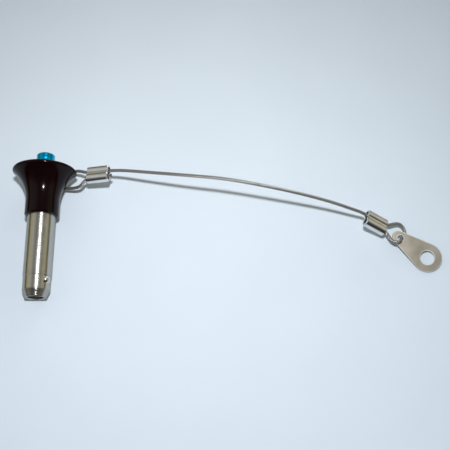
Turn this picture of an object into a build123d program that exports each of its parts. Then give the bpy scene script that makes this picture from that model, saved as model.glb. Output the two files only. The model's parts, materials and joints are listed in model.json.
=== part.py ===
from build123d import *
from math import asin, atan2, cos, hypot, pi, radians, sin, sqrt, tan
import os

# Ball lock pin with a button handle, a wire rope lanyard and an anchor tab.
# Millimetres. The pin lies on the floor z = 0 on the rim of its flange and on the corner of
# its nose taper, with its nose towards -Y and its button towards +Y. The lanyard runs to +X.
# "Station" means the distance along the pin's axis from the face of its nose.

# ---------------------------------------------------------------- driving dimensions
# Shank: a half-inch ground tube that holds the two locking balls.
# Its nose is ground a little under size, so that the staked lips stay below the grip.
shank_radius = 6.35
shank_tail_radius = 5.6
nose_relief = 0.2
grip_start = 9.7
nose_taper = 3.3
nose_radius = 4.75
chamber_radius = 3.55
chamber_depth = 17.5
mouth_chamfer = 0.35
guide_clearance = 0.07

# Locking balls: 5/32 inch, in two cross holes whose outer lips are staked over.
ball_radius = 1.985
ball_clearance = 0.035
ball_station = 7.5
ball_reach = 5.35
ball_travel = 1.05
ball_bearing = 32.0

# Handle: turned in one piece, with a straight barrel that flares into a flange.
handle_station = 38.0
barrel_radius = 7.75
barrel_edge = 0.6
flare_radius = 17.5
flange_radius = 14.6
rim_round = 0.9
rim_station = 59.7
socket_depth = 10.0
lanyard_hole_radius = 1.4
lanyard_hole_inset = 2.5
lanyard_hole_bearing = -60.0

# Release button, its spindle and the spring that lifts them.
button_radius = 4.15
button_clearance = 0.07
button_rise = 7.7
button_depth = 5.0
button_chamfer = 0.45
press_travel = 3.5
neck_radius = 2.33
stud_radius = 1.9
stud_length = 8.4
land_radius = 3.5
spindle_recess = 3.9
spindle_edge = 0.4
collar_length = 2.0
collar_radius = 3.4
seat_gap = 0.02
spring_gap = 0.05
ramp_gap = 0.015
spring_wire = 0.5
spring_radius = 3.2
spring_turns = 5.0

# Wire rope and its two squeezed sleeves.
cable_diameter = 1.6
strand_spacing = 3.1
strand_lead = 0.7
sleeve_length = 10.4
sleeve_lobe_radius = 2.4
sleeve_lobe_spacing = 3.9
sleeve_waist = 3.5
sleeve_wall = 0.9
sleeve_mouth_depth = 1.6
sleeve_edge = 0.25

# Anchor tab: a stamped teardrop plate that is screwed to the fixture.
tab_thickness = 0.9
tab_big_radius = 6.7
tab_small_radius = 2.9
tab_reach = 16.0
tab_screw_hole_radius = 3.3
tab_link_hole_radius = 1.5
tab_link_hole_inset = 1.0
tab_edge = 0.15

# ---------------------------------------------------------------- how the pin lies
relieved_radius = shank_radius - nose_relief
rest_run = rim_station - nose_taper
rest_rise = flange_radius - rim_round - relieved_radius
lean = atan2(rest_rise, rest_run) + asin(rim_round / hypot(rest_run, rest_rise))

flange_back = rim_station + rim_round
button_top = flange_back + button_rise
reach_front = nose_radius * sin(lean)
reach_back = button_top * cos(lean) + (button_radius - button_chamfer) * sin(lean)

pin_along = Vector(0, cos(lean), sin(lean))
pin_up = Vector(0, -sin(lean), cos(lean))
nose_centre = Vector(
    0,
    (reach_front - reach_back) / 2,
    relieved_radius * cos(lean) - nose_taper * sin(lean),
)

# In this plane x is the radius and y the station, so profiles read like a turner's drawing.
pin_section = Plane(origin=nose_centre, x_dir=(1, 0, 0), z_dir=pin_up)
pin_axis = Axis(nose_centre, pin_along)


def bearing_direction(bearing):
    """The direction square to the pin's axis, in degrees from +X towards the pin's upper side."""
    return Vector(1, 0, 0) * cos(radians(bearing)) + pin_up * sin(radians(bearing))


def on_pin(station, reach=0.0, bearing=0.0):
    """The point at a station, at a distance from the axis along a bearing."""
    return nose_centre + pin_along * station + bearing_direction(bearing) * reach


os.makedirs("parts", exist_ok=True)

# ---------------------------------------------------------------- shank
# A hollow shank: a wide chamber for the spindle's land, then a close guide for its neck.
# Its turned-down tail is pressed into the handle as far as the shoulder.
guide_radius = neck_radius + guide_clearance
shank_end = handle_station + socket_depth
ball_hole_radius = ball_radius + ball_clearance
ball_hole_plane = Plane(
    origin=on_pin(ball_station), x_dir=pin_along, z_dir=bearing_direction(ball_bearing)
)

with BuildPart() as shank:
    with BuildSketch(pin_section):
        with BuildLine():
            Polyline(
                (chamber_radius + mouth_chamfer, 0),
                (nose_radius, 0),
                (relieved_radius, nose_taper),
                (relieved_radius, grip_start - nose_relief),
                (shank_radius, grip_start),
                (shank_radius, handle_station),
                (shank_tail_radius, handle_station),
                (shank_tail_radius, shank_end),
                (guide_radius, shank_end),
                (guide_radius, chamber_depth),
                (chamber_radius, chamber_depth),
                (chamber_radius, mouth_chamfer),
                close=True,
            )
        make_face()
    revolve(axis=pin_axis)
    # Each ball hole ends in a spherical seat, which leaves a lip that holds the ball in.
    with BuildSketch(ball_hole_plane):
        Circle(ball_hole_radius)
    extrude(amount=ball_reach, both=True, mode=Mode.SUBTRACT)
    with Locations(
        on_pin(ball_station, ball_reach, ball_bearing),
        on_pin(ball_station, -ball_reach, ball_bearing),
    ):
        Sphere(ball_hole_radius, mode=Mode.SUBTRACT)

shank.part.label = "shank"
export_step(shank.part, "parts/shank.step")

# ---------------------------------------------------------------- handle
# The flare is one arc, tangent to the barrel and to the round of the flange's rim.
flare_centre_x = barrel_radius + flare_radius
rim_centre_x = flange_radius - rim_round
flare_reach = flare_radius + rim_round
flare_start = rim_station - sqrt(flare_reach**2 - (flare_centre_x - rim_centre_x) ** 2)
flare_share = flare_radius / flare_reach
flare_end = (
    flare_centre_x + (rim_centre_x - flare_centre_x) * flare_share,
    flare_start + (rim_station - flare_start) * flare_share,
)
button_bore_radius = button_radius + button_clearance
lanyard_hole_reach = flange_radius - lanyard_hole_inset

with BuildPart() as handle:
    with BuildSketch(pin_section):
        with BuildLine():
            Polyline(
                (rim_centre_x, flange_back),
                (button_bore_radius, flange_back),
                (button_bore_radius, shank_end),
                (shank_tail_radius, shank_end),
                (shank_tail_radius, handle_station),
                (barrel_radius - barrel_edge, handle_station),
                (barrel_radius, handle_station + barrel_edge),
                (barrel_radius, flare_start),
            )
            TangentArc((barrel_radius, flare_start), flare_end, tangent=(0, 1))
            ThreePointArc(
                flare_end, (flange_radius, rim_station), (rim_centre_x, flange_back)
            )
        make_face()
    revolve(axis=pin_axis)
    with BuildSketch(
        Plane(
            origin=on_pin(flange_back, lanyard_hole_reach, lanyard_hole_bearing),
            x_dir=(1, 0, 0),
            z_dir=pin_along,
        )
    ):
        Circle(lanyard_hole_radius)
    extrude(amount=-(flange_back - flare_start), mode=Mode.SUBTRACT)

handle.part.label = "handle"
export_step(handle.part, "parts/handle.step")

# ---------------------------------------------------------------- spindle
# The balls ride on a cone. Its slope is the balls' travel over the button's, so a ball
# touches the cone at one point on its flank all the way down to the neck.
ramp_angle = atan2(ball_travel, press_travel)
contact_station = ball_station - ball_radius * sin(ramp_angle)
contact_radius = ball_reach - ball_radius * cos(ramp_angle) - ramp_gap
land_end = contact_station - (land_radius - contact_radius) / tan(ramp_angle)
ramp_end = contact_station + (contact_radius - neck_radius) / tan(ramp_angle)
collar_end = chamber_depth - seat_gap
collar_start = collar_end - collar_length
button_base = flange_back - button_depth
stud_end = button_base + stud_length

with BuildPart() as spindle:
    with BuildSketch(pin_section):
        with BuildLine():
            Polyline(
                (0, spindle_recess),
                (land_radius - spindle_edge, spindle_recess),
                (land_radius, spindle_recess + spindle_edge),
                (land_radius, land_end),
                (neck_radius, ramp_end),
                (neck_radius, collar_start),
                (collar_radius, collar_start),
                (collar_radius, collar_end),
                (neck_radius, collar_end),
                (neck_radius, button_base),
                (stud_radius, button_base),
                (stud_radius, stud_end),
                (0, stud_end),
                close=True,
            )
        make_face()
    revolve(axis=pin_axis)

spindle.part.label = "spindle"
export_step(spindle.part, "parts/spindle.step")

# ---------------------------------------------------------------- locking balls
for side, reach in (("right", ball_reach), ("left", -ball_reach)):
    with BuildPart() as ball:
        with Locations(on_pin(ball_station, reach, ball_bearing)):
            Sphere(ball_radius)
    ball.part.label = f"ball_{side}"
    export_step(ball.part, f"parts/ball_{side}.step")

# ---------------------------------------------------------------- release button
with BuildPart() as release_button:
    with BuildSketch(pin_section):
        with BuildLine():
            Polyline(
                (0, stud_end),
                (stud_radius, stud_end),
                (stud_radius, button_base),
                (button_radius, button_base),
                (button_radius, button_top - button_chamfer),
                (button_radius - button_chamfer, button_top),
                (0, button_top),
                close=True,
            )
        make_face()
    revolve(axis=pin_axis)

release_button.part.label = "release_button"
export_step(release_button.part, "parts/release_button.step")

# ---------------------------------------------------------------- return spring
# It stands on the end of the shank, round the spindle, and bears under the button.
spring_start = shank_end + spring_gap + spring_wire / 2
spring_height = button_base - shank_end - 2 * spring_gap - spring_wire

with BuildPart() as return_spring:
    with BuildLine() as coil:
        Helix(
            pitch=spring_height / spring_turns,
            height=spring_height,
            radius=spring_radius,
            center=on_pin(spring_start),
            direction=pin_along,
        )
    with BuildSketch(coil.line ^ 0):
        Circle(spring_wire / 2)
    sweep(path=coil.line, is_frenet=True)

return_spring.part.label = "return_spring"
export_step(return_spring.part, "parts/return_spring.step")

# ---------------------------------------------------------------- lanyard cable
# One length of wire rope. It starts at its cut end beside the pin's sleeve, goes round the
# flange through its hole, back through the sleeve, over in a springy arch to the second
# sleeve, round the anchor tab through its small hole, and ends flush in the second sleeve.
tail_run = [(30.97, 24.13, 13.76), (18.63, 24.32, 10.77)]
rim_loop = [
    (16.30, 20.70, 9.30),
    (12.90, 20.90, 7.30),
    (9.30, 21.80, 5.10),
    (6.05, 22.65, 3.45),
    (6.05, 29.17, 4.43),
    (8.70, 30.30, 5.69),
    (12.10, 30.10, 7.37),
    (15.50, 29.04, 9.34),
]
pin_sleeve_run = [(18.78, 27.39, 10.35), (32.48, 27.18, 13.68)]
arch = [
    (47.5, 22.9, 18.8),
    (66.0, 18.6, 23.4),
    (84.5, 15.6, 25.4),
    (101.5, 12.6, 24.4),
    (117.5, 10.2, 21.6),
    (131.5, 8.2, 17.6),
    (141.5, 6.4, 13.9),
]
tab_sleeve_run = [(146.85, 5.82, 11.27), (158.20, 1.92, 5.79)]
tab_loop = [
    (161.30, 3.10, 5.20),
    (164.60, 3.80, 4.40),
    (167.00, 1.70, 2.90),
    (167.50, -1.00, 1.70),
    (166.10, -3.10, 1.60),
    (164.65, -3.75, 3.80),
    (164.40, -5.10, 6.90),
    (162.90, -7.10, 6.70),
    (160.40, -6.40, 6.50),
    (158.80, -4.20, 6.40),
]
end_run = [(157.39, -1.05, 6.21), (148.35, 2.06, 10.57)]
cable_route = tail_run + rim_loop + pin_sleeve_run + arch + tab_sleeve_run + tab_loop + end_run
corner_share = 0.45

corners = [Vector(*point) for point in cable_route]
bend_radii = []
for before, corner, after in zip(corners, corners[1:], corners[2:]):
    run_in = corner - before
    run_out = after - corner
    half_turn = radians(run_in.get_angle(run_out)) / 2
    shorter = min(run_in.length, run_out.length)
    bend_radii.append(corner_share * shorter / tan(half_turn))
print("cable bend radii:", [round(radius, 1) for radius in bend_radii])

with BuildPart() as lanyard_cable:
    with BuildLine() as rope_path:
        FilletPolyline(*cable_route, radius=bend_radii)
    rope_line = rope_path.wire()
    with BuildSketch(rope_line ^ 0):
        Circle(cable_diameter / 2)
    sweep(path=rope_line)

rope_volume = pi * (cable_diameter / 2) ** 2 * rope_line.length
print("cable length:", round(rope_line.length, 1))
print("cable volume over section times length:", round(lanyard_cable.part.volume / rope_volume, 4))
lanyard_cable.part.label = "lanyard_cable"
export_step(lanyard_cable.part, "parts/lanyard_cable.step")

# ---------------------------------------------------------------- crimp sleeves
# Each sleeve grips two strands side by side: the tail strand and the one that runs through.
# It stays open at both mouths, where the squeezing dies stop short.


def sleeve_plane(loop_end, tail_end, other_strand):
    """The middle of a sleeve: x across both strands, z along them towards the tail's end."""
    loop_corner = Vector(*loop_end)
    along = (Vector(*tail_end) - loop_corner).normalized()
    across = Vector(*other_strand) - loop_corner
    across = (across - along * across.dot(along)).normalized()
    to_middle = strand_lead + sleeve_length / 2
    middle = loop_corner + along * to_middle + across * (strand_spacing / 2)
    return Plane(origin=middle, x_dir=across, z_dir=along)


sleeve_planes = {
    "crimp_sleeve_pin_end": sleeve_plane(tail_run[1], tail_run[0], pin_sleeve_run[0]),
    "crimp_sleeve_tab_end": sleeve_plane(end_run[0], end_run[1], tab_sleeve_run[1]),
}

for name, middle_plane in sleeve_planes.items():
    with BuildPart() as sleeve:
        with BuildSketch(middle_plane):
            with GridLocations(sleeve_lobe_spacing, 0, 2, 1):
                Circle(sleeve_lobe_radius)
            Rectangle(sleeve_lobe_spacing, sleeve_waist)
        extrude(amount=sleeve_length / 2, both=True)
        ends = sleeve.faces().filter_by(Axis(middle_plane.origin, middle_plane.z_dir))
        chamfer(ends.edges(), length=sleeve_edge)
        with BuildSketch(middle_plane):
            with GridLocations(strand_spacing, 0, 2, 1):
                Circle(cable_diameter / 2)
        extrude(amount=sleeve_length / 2, both=True, mode=Mode.SUBTRACT)
        for end in (-1, 1):
            with BuildSketch(middle_plane.offset(end * sleeve_length / 2)):
                with GridLocations(sleeve_lobe_spacing, 0, 2, 1):
                    Circle(sleeve_lobe_radius - sleeve_wall)
                Rectangle(sleeve_lobe_spacing, sleeve_waist - 2 * sleeve_wall)
            extrude(amount=-end * sleeve_mouth_depth, mode=Mode.SUBTRACT)
    sleeve.part.label = name
    export_step(sleeve.part, f"parts/{name}.step")

# ---------------------------------------------------------------- anchor tab
# The plate leans on the edge of its round end. Its narrow end is held up by the loop.
tab_centre = (176.2, -12.7)
tab_heading = radians(-36)
tab_pitch = radians(10)
tab_roll = radians(13)

tab_level = Vector(-sin(tab_heading), cos(tab_heading), 0)
tab_along = Vector(
    cos(tab_heading) * cos(tab_pitch),
    sin(tab_heading) * cos(tab_pitch),
    -sin(tab_pitch),
)
tab_normal = tab_along.cross(tab_level) * cos(tab_roll) - tab_level * sin(tab_roll)
tab_tilt = radians(tab_normal.get_angle(Vector(0, 0, 1)))
tab_height = (tab_big_radius - tab_edge) * sin(tab_tilt) + tab_thickness / 2 * cos(tab_tilt)
tab_plane = Plane(
    origin=(*tab_centre, tab_height), x_dir=tab_along, z_dir=tab_normal
)

with BuildPart() as anchor_tab:
    with BuildSketch(tab_plane):
        Circle(tab_big_radius)
        with Locations((-tab_reach, 0)):
            Circle(tab_small_radius)
        make_hull()
    extrude(amount=tab_thickness / 2, both=True)
    faces = anchor_tab.faces().filter_by(Axis(tab_plane.origin, tab_plane.z_dir))
    chamfer(faces.edges(), length=tab_edge)
    with BuildSketch(tab_plane):
        Circle(tab_screw_hole_radius)
        with Locations((tab_link_hole_inset - tab_reach, 0)):
            Circle(tab_link_hole_radius)
    extrude(amount=tab_thickness / 2, both=True, mode=Mode.SUBTRACT)

anchor_tab.part.label = "anchor_tab"
export_step(anchor_tab.part, "parts/anchor_tab.step")
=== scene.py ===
import json
from math import pi

import bpy
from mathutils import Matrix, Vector


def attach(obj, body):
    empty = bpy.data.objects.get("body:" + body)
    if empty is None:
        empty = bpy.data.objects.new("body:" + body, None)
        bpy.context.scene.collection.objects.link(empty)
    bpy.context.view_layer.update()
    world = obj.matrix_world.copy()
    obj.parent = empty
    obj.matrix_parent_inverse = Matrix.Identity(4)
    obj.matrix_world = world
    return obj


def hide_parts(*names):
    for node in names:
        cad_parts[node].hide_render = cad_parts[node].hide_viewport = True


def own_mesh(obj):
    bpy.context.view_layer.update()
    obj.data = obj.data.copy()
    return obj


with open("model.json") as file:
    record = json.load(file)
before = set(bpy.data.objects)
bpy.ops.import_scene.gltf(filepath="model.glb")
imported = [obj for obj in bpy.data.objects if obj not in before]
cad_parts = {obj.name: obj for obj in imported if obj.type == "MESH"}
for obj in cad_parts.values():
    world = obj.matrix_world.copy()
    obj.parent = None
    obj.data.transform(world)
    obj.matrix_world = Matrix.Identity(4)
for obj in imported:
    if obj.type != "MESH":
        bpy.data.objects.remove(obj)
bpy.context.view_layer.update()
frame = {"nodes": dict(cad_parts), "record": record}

# ---------------------------------------------------------------- ground shank
# A hollow half-inch tube of stainless steel, centreless ground to size. The grinding wheel
# leaves very fine rings round it, which draw each reflection out along its length.
press = next(joint for joint in frame["record"]["behaviour"]["joints"] if joint["name"] == "button_press")
shank_mount = next(mount for mount in frame["record"]["mounts"] if mount["name"] == "shank")
pin_axis = -Vector(press["axis"])
pin_middle = Vector(shank_mount["pos_m"])


def place(tree, kind, *links, **settings):
    """Adds a node. Settings name its properties or, after an underscore, its inputs."""
    node = tree.nodes.new(kind)
    for name, value in settings.items():
        if name.startswith("_"):
            key = name[1:].replace("_", " ")
            node.inputs[int(key) if key.isdigit() else key].default_value = value
        else:
            setattr(node, name, value)
    for socket, source in links:
        tree.links.new(source, node.inputs[socket])
    return node


def new_group(name, inputs, outputs):
    """A shader group with named inputs (kind, default) and outputs (kind)."""
    group = bpy.data.node_groups.new(name, "ShaderNodeTree")
    for label, (kind, default) in inputs.items():
        socket = group.interface.new_socket(label, in_out="INPUT", socket_type=kind)
        socket.default_value = default
    for label, kind in outputs.items():
        group.interface.new_socket(label, in_out="OUTPUT", socket_type=kind)
    return group, group.nodes.new("NodeGroupInput"), group.nodes.new("NodeGroupOutput")


# Tool rings: lines cut square to an axis, which tilt the surface to and fro along that axis.
# The normal is first trued about the axis, so a turned face has no facets round it. A cross
# hole's wall leans sideways and keeps its own normal.
tool_rings, rings_in, rings_out = new_group(
    "tool rings",
    {
        "Position": ("NodeSocketVector", (0, 0, 0)),
        "Centre": ("NodeSocketVector", (0, 0, 0)),
        "Axis": ("NodeSocketVector", (0, 1, 0)),
        "Lines per Metre": ("NodeSocketFloat", 5000.0),
        "Tilt": ("NodeSocketFloat", 0.5),
    },
    {"Normal": "NodeSocketVector", "Line": "NodeSocketFloat", "Cut Across": "NodeSocketFloat"},
)
axis_in = rings_in.outputs["Axis"]


def vector_maths(operation, first, second=None, scale=None):
    """A Vector Math node in the tool rings' tree."""
    node = tool_rings.nodes.new("ShaderNodeVectorMath")
    node.operation = operation
    tool_rings.links.new(first, node.inputs[0])
    if second is not None:
        tool_rings.links.new(second, node.inputs[1])
    if scale is not None:
        tool_rings.links.new(scale, node.inputs["Scale"])
    return node.outputs["Value"] if operation in ("DOT_PRODUCT", "LENGTH") else node.outputs["Vector"]


from_centre = vector_maths("SUBTRACT", rings_in.outputs["Position"], rings_in.outputs["Centre"])
station = vector_maths("DOT_PRODUCT", from_centre, axis_in)
outward = vector_maths("SUBTRACT", from_centre, vector_maths("SCALE", axis_in, scale=station))
outward = vector_maths("NORMALIZE", outward)
faceted = place(tool_rings, "ShaderNodeNewGeometry").outputs["Normal"]
trued = vector_maths(
    "ADD",
    vector_maths("SCALE", outward, scale=vector_maths("DOT_PRODUCT", faceted, outward)),
    vector_maths("SCALE", axis_in, scale=vector_maths("DOT_PRODUCT", faceted, axis_in)),
)
sideways = vector_maths("LENGTH", vector_maths("SUBTRACT", faceted, trued))
is_turned = place(tool_rings, "ShaderNodeMath", (0, sideways), operation="LESS_THAN", _1=0.2)
turned_normal = place(
    tool_rings, "ShaderNodeMix", (0, is_turned.outputs[0]), (4, faceted), (5, trued), data_type="VECTOR"
)
line_count = place(
    tool_rings, "ShaderNodeMath",
    (0, station), (1, rings_in.outputs["Lines per Metre"]), operation="MULTIPLY",
)
line_noise = place(
    tool_rings, "ShaderNodeTexNoise", ("W", line_count.outputs[0]),
    noise_dimensions="1D", _Scale=1.0, _Detail=2.0, _Roughness=0.6,
)
line_side = place(tool_rings, "ShaderNodeMath", (0, line_noise.outputs[0]), operation="SUBTRACT", _1=0.5)
line_tilt = place(
    tool_rings, "ShaderNodeMath",
    (0, line_side.outputs[0]), (1, rings_in.outputs["Tilt"]), operation="MULTIPLY",
)
tilted = vector_maths(
    "ADD", turned_normal.outputs[1], vector_maths("SCALE", axis_in, scale=line_tilt.outputs[0])
)
tool_rings.links.new(vector_maths("NORMALIZE", tilted), rings_out.inputs["Normal"])
tool_rings.links.new(line_noise.outputs[0], rings_out.inputs["Line"])
# Cut Across is 1 on tapers, shoulders and end faces, and 0 where the surface runs along the axis.
facing_ends = place(
    tool_rings, "ShaderNodeMath", (0, vector_maths("DOT_PRODUCT", faceted, axis_in)), operation="ABSOLUTE"
)
cut_across = place(
    tool_rings, "ShaderNodeMapRange", ("Value", facing_ends.outputs[0]), _From_Min=0.1, _From_Max=0.3
)
tool_rings.links.new(cut_across.outputs[0], rings_out.inputs["Cut Across"])

# Handling marks: a cloudy film and short scuffs, which dull the gloss in places.
handling, handling_in, handling_out = new_group(
    "handling marks",
    {
        "Position": ("NodeSocketVector", (0, 0, 0)),
        "Cloud Scale": ("NodeSocketFloat", 180.0),
        "Scuff Scale": ("NodeSocketFloat", 1400.0),
        "Low": ("NodeSocketFloat", 0.1),
        "High": ("NodeSocketFloat", 0.3),
    },
    {"Roughness": "NodeSocketFloat", "Cloud": "NodeSocketFloat", "Scuff": "NodeSocketFloat"},
)
cloud = place(
    handling, "ShaderNodeTexNoise",
    ("Vector", handling_in.outputs["Position"]), ("Scale", handling_in.outputs["Cloud Scale"]),
    _Detail=3.0, _Roughness=0.55,
)
scuff = place(
    handling, "ShaderNodeTexNoise",
    ("Vector", handling_in.outputs["Position"]), ("Scale", handling_in.outputs["Scuff Scale"]),
    _Detail=4.0, _Roughness=0.7, _Distortion=0.6,
)
film = place(handling, "ShaderNodeMath", (0, cloud.outputs[0]), (1, scuff.outputs[0]), operation="ADD")
film_range = place(
    handling, "ShaderNodeMapRange", ("Value", film.outputs[0]),
    ("To Min", handling_in.outputs["Low"]), ("To Max", handling_in.outputs["High"]),
    _From_Min=0.75, _From_Max=1.25,
)
handling.links.new(film_range.outputs[0], handling_out.inputs["Roughness"])
handling.links.new(cloud.outputs[0], handling_out.inputs["Cloud"])
handling.links.new(scuff.outputs[0], handling_out.inputs["Scuff"])


def new_material(name, **constants):
    """A material with a Principled shader, the constants on its sockets, and object coordinates."""
    material = bpy.data.materials.new(name)
    material.use_nodes = True
    tree = material.node_tree
    shader = tree.nodes["Principled BSDF"]
    for key, value in constants.items():
        shader.inputs[key.replace("_", " ")].default_value = value
    spot = place(tree, "ShaderNodeTexCoord").outputs["Object"]
    return material, tree, shader, spot


def add_rings(tree, shader, spot, lines_per_metre, tilt):
    """Tool rings round the pin's own axis, in a material's normal."""
    rings = place(tree, "ShaderNodeGroup", ("Position", spot), node_tree=tool_rings)
    rings.inputs["Centre"].default_value = pin_middle
    rings.inputs["Axis"].default_value = pin_axis
    rings.inputs["Lines per Metre"].default_value = lines_per_metre
    rings.inputs["Tilt"].default_value = tilt
    tree.links.new(rings.outputs["Normal"], shader.inputs["Normal"])
    return rings


def add_marks(tree, shader, spot, low, high, **scales):
    """Handling marks, in a material's roughness, which they move between low and high."""
    marks = place(tree, "ShaderNodeGroup", ("Position", spot), node_tree=handling)
    marks.inputs["Low"].default_value = low
    marks.inputs["High"].default_value = high
    for name, scale in scales.items():
        marks.inputs[name.replace("_", " ")].default_value = scale
    tree.links.new(marks.outputs["Roughness"], shader.inputs["Roughness"])
    return marks


def two_tone(tree, shader, mask, low, high, first, second):
    """Base colour that runs from first to second as the mask goes from low to high."""
    share = place(tree, "ShaderNodeMapRange", ("Value", mask), _From_Min=low, _From_Max=high)
    mix = place(
        tree, "ShaderNodeMix", ("Factor", share.outputs[0]),
        data_type="RGBA", _6=(*first, 1), _7=(*second, 1),
    )
    tree.links.new(mix.outputs[2], shader.inputs["Base Color"])
    return mix


def dress(node_name, material):
    """Gives a CAD node its finished material."""
    mesh = frame["nodes"][node_name].data
    mesh.materials.clear()
    mesh.materials.append(material)


ground_steel, tree, shader, spot = new_material("ground_steel", Metallic=1.0, IOR=2.2)
shader.inputs["Specular Tint"].default_value = (0.7, 0.7, 0.7, 1)
rings = add_rings(tree, shader, spot, lines_per_metre=9000.0, tilt=1.5)
add_marks(tree, shader, spot, low=0.21, high=0.25, Cloud_Scale=120.0)
two_tone(tree, shader, rings.outputs["Cut Across"], 0.0, 1.0, (0.46, 0.445, 0.4), (0.4, 0.39, 0.37))
dress("shank", ground_steel)

# ---------------------------------------------------------------- spindle
# The rod inside the shank, turned from the same steel. Its land fills the hollow nose, and its
# face shows at the bottom of the hole, painted darker than the ground outside as painted shade.
shaded_turned_steel, tree, shader, spot = new_material("shaded_turned_steel", Metallic=1.0, IOR=2.2)
rings = add_rings(tree, shader, spot, lines_per_metre=3000.0, tilt=0.5)
add_marks(tree, shader, spot, low=0.3, high=0.5, Cloud_Scale=200.0)
# Painted shade: a dark brown base colour stands in for the shade inside the hollow nose.
two_tone(tree, shader, rings.outputs["Line"], 0.3, 0.7, (0.1, 0.075, 0.06), (0.2, 0.165, 0.14))
dress("spindle", shaded_turned_steel)

# ---------------------------------------------------------------- locking balls
# Two polished bearing balls of hardened steel. They stand proud of the nose until the
# spindle's neck lets them fall in.
ball_steel, tree, shader, spot = new_material("ball_steel", Metallic=1.0, IOR=2.2)
marks = add_marks(tree, shader, spot, low=0.05, high=0.12, Cloud_Scale=300.0, Scuff_Scale=2600.0)
two_tone(tree, shader, marks.outputs["Scuff"], 0.35, 0.65, (0.6, 0.58, 0.55), (0.68, 0.66, 0.62))
dress("ball_right", ball_steel)
dress("ball_left", ball_steel)

# ---------------------------------------------------------------- return spring
# A coil of hard-drawn spring wire, out of sight between the shank's end and the button. In
# the real pin it closes up as the button goes in; here it is wound once, at one fixed length.
spring_wire, tree, shader, spot = new_material("spring_wire", Metallic=1.0, IOR=2.2)
marks = add_marks(tree, shader, spot, low=0.3, high=0.45, Cloud_Scale=400.0)
two_tone(tree, shader, marks.outputs["Cloud"], 0.35, 0.65, (0.32, 0.31, 0.3), (0.45, 0.44, 0.42))

# The coil stands a small gap off the shank's end, which sits at the bottom of the handle's socket.
coil_sizes = {"Turns": 5.0, "Coil Radius": 0.0032, "Coil Height": 0.007, "Wire Radius": 0.00025}
spring_gap = 0.00005
socket_depth = 0.01
grip_length = shank_mount["dims"]["length_mm"] / 1000
coil_base = grip_length / 2 + socket_depth + spring_gap + coil_sizes["Wire Radius"]
coil_start = pin_middle + pin_axis * coil_base


def new_maker(name, sizes):
    """A Geometry Nodes tree that takes in geometry and named sizes, and puts out geometry."""
    tree = bpy.data.node_groups.new(name, "GeometryNodeTree")
    tree.interface.new_socket("Geometry", in_out="INPUT", socket_type="NodeSocketGeometry")
    for label, default in sizes.items():
        kind = "NodeSocketInt" if isinstance(default, int) else "NodeSocketFloat"
        socket = tree.interface.new_socket(label, in_out="INPUT", socket_type=kind)
        socket.default_value = default
    tree.interface.new_socket("Geometry", in_out="OUTPUT", socket_type="NodeSocketGeometry")
    return tree, tree.nodes.new("NodeGroupInput"), tree.nodes.new("NodeGroupOutput")


def end_maker(tree, tree_out, geometry, material):
    """Ends a tree: smooth faces, real geometry in place of instances, and the material."""
    smoothed = place(tree, "GeometryNodeSetShadeSmooth", ("Geometry", geometry))
    realized = place(tree, "GeometryNodeRealizeInstances", ("Geometry", smoothed.outputs[0]))
    painted = place(tree, "GeometryNodeSetMaterial", ("Geometry", realized.outputs[0]), _Material=material)
    tree.links.new(painted.outputs[0], tree_out.inputs[0])


def plain_mesh(source):
    """What an object comes to with its modifiers, as a mesh of its own."""
    bpy.context.view_layer.update()
    return bpy.data.meshes.new_from_object(source.evaluated_get(bpy.context.evaluated_depsgraph_get()))


def made_piece(name, blank, tree):
    """The piece that a tree makes from a blank object, which is then thrown away."""
    maker = blank.modifiers.new(tree.name, "NODES")
    maker.node_group = tree
    mesh = plain_mesh(blank)
    blank.modifiers.remove(maker)
    bpy.data.objects.remove(blank)
    mesh.name = name
    piece = bpy.data.objects.new(name, mesh)
    bpy.context.collection.objects.link(piece)
    return piece


coil_tree, coil_in, coil_out = new_maker("wind coil", coil_sizes)
helix = place(
    coil_tree, "GeometryNodeCurveSpiral",
    ("Rotations", coil_in.outputs["Turns"]), ("Height", coil_in.outputs["Coil Height"]),
    ("Start Radius", coil_in.outputs["Coil Radius"]), ("End Radius", coil_in.outputs["Coil Radius"]),
    _Resolution=32,
)
wire_section = place(
    coil_tree, "GeometryNodeCurvePrimitiveCircle",
    ("Radius", coil_in.outputs["Wire Radius"]), _Resolution=12,
)
wound_wire = place(
    coil_tree, "GeometryNodeCurveToMesh",
    ("Curve", helix.outputs[0]), ("Profile Curve", wire_section.outputs[0]), _Fill_Caps=True,
)
in_place = place(
    coil_tree, "GeometryNodeTransform", ("Geometry", wound_wire.outputs[0]),
    _Translation=coil_start, _Rotation=pin_axis.to_track_quat("Z", "Y").to_euler(),
)
end_maker(coil_tree, coil_out, in_place.outputs[0], spring_wire)
coil_blank = bpy.data.objects.new("coil_blank", bpy.data.meshes.new("coil_blank"))
bpy.context.collection.objects.link(coil_blank)
spring_coil = made_piece("spring_coil", coil_blank, coil_tree)
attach(spring_coil, "pin")
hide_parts("return_spring")
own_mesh(spring_coil)

# ---------------------------------------------------------------- handle
# Turned from aluminium bar, then polished and anodised a deep brown black. The film is thin
# and glossy, and shows a faint ring where the tool passed.
black_anodised, tree, shader, spot = new_material(
    "black_anodised", Metallic=0.0, IOR=1.42, Specular_IOR_Level=0.18
)
add_rings(tree, shader, spot, lines_per_metre=2600.0, tilt=0.05)
marks = add_marks(tree, shader, spot, low=0.1, high=0.16, Cloud_Scale=90.0)
two_tone(tree, shader, marks.outputs["Cloud"], 0.3, 0.7, (0.0045, 0.001, 0.0015), (0.007, 0.0018, 0.0024))
dress("handle", black_anodised)

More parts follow.
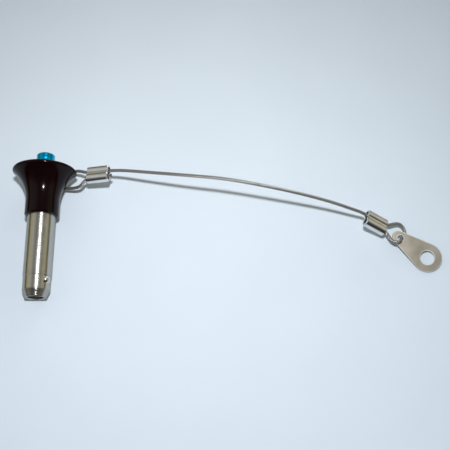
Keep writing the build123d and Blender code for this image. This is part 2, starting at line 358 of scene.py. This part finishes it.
# ---------------------------------------------------------------- release button
# Aluminium, turned and anodised bright blue. The colour is a dye in the metal's own skin, so
# its highlights are blue too.
blue_anodised, tree, shader, spot = new_material("blue_anodised", Metallic=1.0, IOR=1.5)
add_rings(tree, shader, spot, lines_per_metre=5000.0, tilt=1.5)
marks = add_marks(tree, shader, spot, low=0.26, high=0.34, Cloud_Scale=250.0)
two_tone(tree, shader, marks.outputs["Cloud"], 0.3, 0.7, (0.003, 0.33, 0.6), (0.004, 0.39, 0.7))
dress("release_button", blue_anodised)

# ---------------------------------------------------------------- wire rope
# One length of stainless aircraft rope, seven strands of seven wires. It starts at its cut
# end beside the pin's sleeve and ends flush inside the tab's sleeve.
rope_diameter = 0.0016
rope_points = [
    (0.03097, 0.02413, 0.01376), (0.01863, 0.02432, 0.01077), (0.01630, 0.02070, 0.00930),
    (0.01290, 0.02090, 0.00730), (0.00930, 0.02180, 0.00510), (0.00605, 0.02265, 0.00345),
    (0.00605, 0.02917, 0.00443), (0.00870, 0.03030, 0.00569), (0.01210, 0.03010, 0.00737),
    (0.01550, 0.02904, 0.00934), (0.01878, 0.02739, 0.01035), (0.03248, 0.02718, 0.01368),
    (0.04750, 0.02290, 0.01880), (0.06600, 0.01860, 0.02340), (0.08450, 0.01560, 0.02540),
    (0.10150, 0.01260, 0.02440), (0.11750, 0.01020, 0.02160), (0.13150, 0.00820, 0.01760),
    (0.14150, 0.00640, 0.01390), (0.14685, 0.00582, 0.01127), (0.15820, 0.00192, 0.00579),
    (0.16130, 0.00310, 0.00520), (0.16460, 0.00380, 0.00440), (0.16700, 0.00170, 0.00290),
    (0.16750, -0.00100, 0.00170), (0.16610, -0.00310, 0.00160), (0.16465, -0.00375, 0.00380),
    (0.16440, -0.00510, 0.00690), (0.16290, -0.00710, 0.00670), (0.16040, -0.00640, 0.00650),
    (0.15880, -0.00420, 0.00640), (0.15739, -0.00105, 0.00621), (0.14835, 0.00206, 0.01057),
]
rope_curve = bpy.data.curves.new("rope_route", "CURVE")
rope_curve.dimensions = "3D"
rope_curve.resolution_u = 16
rope_spline = rope_curve.splines.new("NURBS")
rope_spline.points.add(len(rope_points) - 1)
for point, position in zip(rope_spline.points, rope_points):
    point.co = (*position, 1)
rope_spline.order_u = 3
rope_spline.use_endpoint_u = True
rope_route = bpy.data.objects.new("rope_route", rope_curve)
bpy.context.collection.objects.link(rope_route)
rope_line = [vertex.co.copy() for vertex in plain_mesh(rope_route).vertices]

# Painted shade: the grooves between strands are painted near black, in place of the shade that
# falls in them, and each wire's outer crown keeps the bright metal's colour. The distance from the rope's
# axis tells crown from groove.
strand_radius = rope_diameter / 6
groove_reach = 0.00068
crown_reach = 0.00078
rope_steel, tree, shader, spot = new_material("rope_steel", Metallic=0.6, IOR=1.5)
wire_crown = place(tree, "ShaderNodeAttribute", attribute_name="wire_crown").outputs["Fac"]
rope_axis = place(tree, "ShaderNodeAttribute", attribute_name="rope_axis").outputs["Vector"]
off_axis = place(tree, "ShaderNodeVectorMath", (0, spot), (1, rope_axis), operation="DISTANCE")
outermost = place(
    tree, "ShaderNodeMapRange", ("Value", off_axis.outputs["Value"]),
    _From_Min=groove_reach, _From_Max=crown_reach,
)
# Painted shade: this mask takes the base colour down to near black in the grooves between strands.
painted_groove_shade = place(
    tree, "ShaderNodeMath",
    (0, outermost.outputs[0]), (1, wire_crown), (2, outermost.outputs[0]), operation="MULTIPLY_ADD",
)
two_tone(tree, shader, painted_groove_shade.outputs[0], 0.1, 1.6, (0.012, 0.012, 0.012), (0.8, 0.79, 0.76))
add_marks(tree, shader, spot, low=0.24, high=0.4, Cloud_Scale=160.0, Scuff_Scale=2200.0)

# The strands wind round a straight one. Each is one twisted six-lobed bar, a lobe to a wire.
rope_tree, rope_in, rope_out = new_maker(
    "lay rope",
    {
        "Step": 0.00036,
        "Strand Count": 6,
        "Strand Radius": strand_radius,
        "Strand Lay": 0.0096,
        "Wire Lay": 0.0052,
        "Valley": 0.78,
    },
)


def maths(operation, first, second=0.0):
    """A Math node in the rope's tree, of sockets or numbers."""
    node = rope_tree.nodes.new("ShaderNodeMath")
    node.operation = operation
    for index, value in enumerate((first, second)):
        if isinstance(value, (int, float)):
            node.inputs[index].default_value = value
        else:
            rope_tree.links.new(value, node.inputs[index])
    return node.outputs[0]


resample = place(
    rope_tree, "GeometryNodeResampleCurve",
    ("Curve", rope_in.outputs["Geometry"]), ("Length", rope_in.outputs["Step"]), mode="LENGTH",
)
untwisted = place(
    rope_tree, "GeometryNodeSetCurveNormal", ("Curve", resample.outputs[0]), mode="MINIMUM_TWIST"
)
centre_line = place(
    rope_tree, "GeometryNodeStoreNamedAttribute",
    ("Geometry", untwisted.outputs[0]), ("Value", place(rope_tree, "GeometryNodeInputPosition").outputs[0]),
    data_type="FLOAT_VECTOR", domain="POINT", _Name="rope_axis",
)
copies = place(
    rope_tree, "GeometryNodeDuplicateElements",
    ("Geometry", centre_line.outputs[0]), ("Amount", rope_in.outputs["Strand Count"]), domain="SPLINE",
)
along = place(rope_tree, "GeometryNodeSplineParameter").outputs["Length"]
turn_along = maths("MULTIPLY", maths("DIVIDE", along, rope_in.outputs["Strand Lay"]), 2 * pi)
turn_start = maths(
    "MULTIPLY", maths("DIVIDE", copies.outputs["Duplicate Index"], rope_in.outputs["Strand Count"]), 2 * pi
)
turn = maths("ADD", turn_along, turn_start)
curve_normal = place(rope_tree, "GeometryNodeInputNormal").outputs["Normal"]
curve_tangent = place(rope_tree, "GeometryNodeInputTangent").outputs["Tangent"]
side_way = place(
    rope_tree, "ShaderNodeVectorMath", (0, curve_tangent), (1, curve_normal), operation="CROSS_PRODUCT"
)
reach = maths("MULTIPLY", rope_in.outputs["Strand Radius"], 2)
up_part = place(
    rope_tree, "ShaderNodeVectorMath", (0, curve_normal),
    ("Scale", maths("MULTIPLY", reach, maths("COSINE", turn))), operation="SCALE",
)
side_part = place(
    rope_tree, "ShaderNodeVectorMath", (0, side_way.outputs[0]),
    ("Scale", maths("MULTIPLY", reach, maths("SINE", turn))), operation="SCALE",
)
offset = place(
    rope_tree, "ShaderNodeVectorMath", (0, up_part.outputs[0]), (1, side_part.outputs[0]), operation="ADD"
)
wound = place(
    rope_tree, "GeometryNodeSetPosition",
    ("Geometry", copies.outputs["Geometry"]), ("Offset", offset.outputs[0]),
)
all_strands = rope_tree.nodes.new("GeometryNodeJoinGeometry")
rope_tree.links.new(centre_line.outputs[0], all_strands.inputs[0])
rope_tree.links.new(wound.outputs[0], all_strands.inputs[0])
twist = maths("MULTIPLY", maths("DIVIDE", along, rope_in.outputs["Wire Lay"]), -2 * pi)
twisted = place(rope_tree, "GeometryNodeSetCurveTilt", ("Curve", all_strands.outputs[0]), ("Tilt", twist))
valley_radius = maths("MULTIPLY", rope_in.outputs["Strand Radius"], rope_in.outputs["Valley"])
lobes = place(
    rope_tree, "GeometryNodeCurveStar",
    ("Outer Radius", rope_in.outputs["Strand Radius"]), ("Inner Radius", valley_radius), _Points=6,
)
point_number = place(rope_tree, "GeometryNodeInputIndex").outputs[0]
on_crown = maths("SUBTRACT", 1, maths("MODULO", point_number, 2))
marked = place(
    rope_tree, "GeometryNodeStoreNamedAttribute",
    ("Geometry", lobes.outputs[0]), ("Value", on_crown),
    data_type="FLOAT", domain="POINT", _Name="wire_crown",
)
bars = place(
    rope_tree, "GeometryNodeCurveToMesh",
    ("Curve", twisted.outputs[0]), ("Profile Curve", marked.outputs[0]), _Fill_Caps=True,
)
end_maker(rope_tree, rope_out, bars.outputs[0], rope_steel)
wire_rope = made_piece("wire_rope", rope_route, rope_tree)
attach(wire_rope, "lanyard")
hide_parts("lanyard_cable")

# ---------------------------------------------------------------- crimp sleeves
# Two drawn sleeves of a soft bright metal with a figure-eight hole, squeezed on the rope in a
# press, which leaves them a smooth, lightly clouded skin.
sleeve_metal, tree, shader, spot = new_material("sleeve_metal", Metallic=1.0, IOR=2.2)
marks = add_marks(tree, shader, spot, low=0.13, high=0.2, Cloud_Scale=260.0, Scuff_Scale=1800.0)
two_tone(tree, shader, marks.outputs["Cloud"], 0.3, 0.7, (0.7, 0.71, 0.72), (0.8, 0.81, 0.82))
dress("crimp_sleeve_pin_end", sleeve_metal)
dress("crimp_sleeve_tab_end", sleeve_metal)

# ---------------------------------------------------------------- anchor tab
# A teardrop stamped from stainless strip and tumbled, so its faces are softly dulled. Its
# edges are painted bright, partly tumbling wear and partly a painted highlight.
tab_steel, tree, shader, spot = new_material("tab_steel", Metallic=1.0, IOR=2.2)
marks = add_marks(tree, shader, spot, low=0.33, high=0.38, Cloud_Scale=150.0, Scuff_Scale=1600.0)
face_tone = two_tone(tree, shader, marks.outputs["Cloud"], 0.3, 0.7, (0.4, 0.365, 0.29), (0.46, 0.43, 0.36))
# Edge wear and painted highlight: the colour is painted bright where a corner's rounded
# normal leans away from the face's own, so the cosine between them falls below 1.
edge_radius = 0.0006
rolled_edge = place(tree, "ShaderNodeBevel", samples=8, _Radius=edge_radius)
true_normal = place(tree, "ShaderNodeNewGeometry").outputs["True Normal"]
alike = place(
    tree, "ShaderNodeVectorMath", (0, rolled_edge.outputs[0]), (1, true_normal), operation="DOT_PRODUCT"
)
wear_and_glint = place(
    tree, "ShaderNodeMapRange", ("Value", alike.outputs["Value"]), _From_Min=0.998, _From_Max=0.94
)
worn_and_glint_tone = place(
    tree, "ShaderNodeMix", ("Factor", wear_and_glint.outputs[0]), (6, face_tone.outputs[2]),
    data_type="RGBA", _7=(0.9, 0.89, 0.87, 1),
)
tree.links.new(worn_and_glint_tone.outputs[2], shader.inputs["Base Color"])
dress("anchor_tab", tab_steel)

# ---------------------------------------------------------------- floor
# A plain pale sheet under the object, a little cool in tone. It is faintly mottled, and its
# colour is painted darker away from the middle of the lanyard, a painted falloff of light.
floor_half = 0.28
floor_middle = 0.084
floor_mesh = bpy.data.meshes.new("floor")
floor_mesh.from_pydata(
    [(floor_middle + x * floor_half, y * floor_half, 0) for x, y in ((-1, -1), (1, -1), (1, 1), (-1, 1))],
    [], [(0, 1, 2, 3)],
)
floor = bpy.data.objects.new("floor", floor_mesh)
bpy.context.collection.objects.link(floor)
pale_sheet, tree, shader, spot = new_material("pale_sheet", Roughness=0.75, Specular_IOR_Level=0.2)
mottle = place(tree, "ShaderNodeTexNoise", ("Vector", spot), _Scale=28.0, _Detail=5.0)
from_middle = place(tree, "ShaderNodeVectorMath", (0, spot), operation="DISTANCE", _1=(0.06, 0.05, 0.0))
# Painted shade: the floor's colour darkens away from the middle, in place of the light falling off.
painted_falloff = place(
    tree, "ShaderNodeMapRange", ("Value", from_middle.outputs["Value"]), _From_Min=0.04, _From_Max=0.17
)
shade = place(
    tree, "ShaderNodeMath",
    (0, mottle.outputs[0]), (2, painted_falloff.outputs[0]), operation="MULTIPLY_ADD", _1=0.3,
)
two_tone(tree, shader, shade.outputs[0], 0.15, 1.15, (0.7, 0.785, 0.885), (0.57, 0.65, 0.745))
floor_mesh.materials.append(pale_sheet)

# ---------------------------------------------------------------- camera
# Above the object and in front of it, looking down at 63 degrees.
camera_place = Vector((0.08374, -0.16394, 0.33682))
aim = Vector((0.08374, 0.0052, 0))
camera_data = bpy.data.cameras.new("camera")
camera_data.sensor_width = 36.0
camera_data.lens = 64.192
camera_data.clip_start = 0.01
camera = bpy.data.objects.new("camera", camera_data)
camera.location = camera_place
camera.rotation_euler = (aim - camera_place).to_track_quat("-Z", "Y").to_euler()
bpy.context.collection.objects.link(camera)
bpy.context.scene.camera = camera

# ---------------------------------------------------------------- light
# A small flash above the lens, and a soft room: dark low down, with tan walls and a plain
# ceiling. It is bright to the two sides and dim overhead and in front, with a window behind.
flash_data = bpy.data.lights.new("flash", "AREA")
flash_data.shape = "RECTANGLE"
flash_data.size = 0.022
flash_data.size_y = 0.02
flash_data.energy = 1.28
flash_data.color = (0.97, 0.985, 1.0)
flash = bpy.data.objects.new("flash", flash_data)
flash.location = (0.077, -0.0857, 0.3761)
flash.rotation_euler = (aim - flash.location).to_track_quat("-Z", "Y").to_euler()
bpy.context.collection.objects.link(flash)

room = bpy.data.worlds.new("room")
bpy.context.scene.world = room
room.use_nodes = True
tree = room.node_tree


def fade(value, start, end, least, most):
    """Runs smoothly from least to most as the value goes from start to end."""
    node = place(
        tree, "ShaderNodeMapRange", ("Value", value), interpolation_type="SMOOTHSTEP",
        _From_Min=start, _From_Max=end, _To_Min=least, _To_Max=most,
    )
    return node.outputs[0]


look = place(tree, "ShaderNodeTexCoord").outputs["Generated"]
look_parts = place(tree, "ShaderNodeSeparateXYZ", (0, look))
wall = place(tree, "ShaderNodeValToRGB", (0, look_parts.outputs["Z"]))
wall.color_ramp.elements[0].position = 0.08
wall.color_ramp.elements[0].color = (0.02, 0.018, 0.018, 1)
wall.color_ramp.elements[1].position = 0.28
wall.color_ramp.elements[1].color = (0.6, 0.54, 0.3, 1)
ceiling = wall.color_ramp.elements.new(0.8)
ceiling.color = (0.62, 0.63, 0.62, 1)
toward_side = place(tree, "ShaderNodeVectorMath", (0, look), operation="DOT_PRODUCT", _1=(0.985, 0, -0.17))
to_either_side = place(tree, "ShaderNodeMath", (0, toward_side.outputs["Value"]), operation="ABSOLUTE")
sides = fade(to_either_side.outputs[0], 0.4, 0.8, 0.32, 1.0)
not_front = fade(look_parts.outputs["Y"], -0.6, -0.2, 0.25, 1.0)
level = place(tree, "ShaderNodeMath", (0, sides), (1, not_front), operation="MULTIPLY")
shaded = place(
    tree, "ShaderNodeVectorMath", (0, wall.outputs[0]), ("Scale", level.outputs[0]), operation="SCALE"
)
toward_window = place(
    tree, "ShaderNodeVectorMath", (0, look), operation="DOT_PRODUCT", _1=(0.38, 0.88, 0.28)
)
window = fade(toward_window.outputs["Value"], 0.94, 0.98, 0.0, 2.2)
with_window = place(tree, "ShaderNodeVectorMath", (0, shaded.outputs[0]), (1, window), operation="ADD")
# The camera sees a plain pale background in place of the room.
seen = place(tree, "ShaderNodeLightPath").outputs["Is Camera Ray"]
backdrop = place(
    tree, "ShaderNodeMix", (0, seen), (6, with_window.outputs[0]), data_type="RGBA", _7=(0.8, 0.86, 0.9, 1)
)
tree.links.new(backdrop.outputs[2], tree.nodes["Background"].inputs["Color"])

bpy.context.scene.view_settings.view_transform = "Standard"
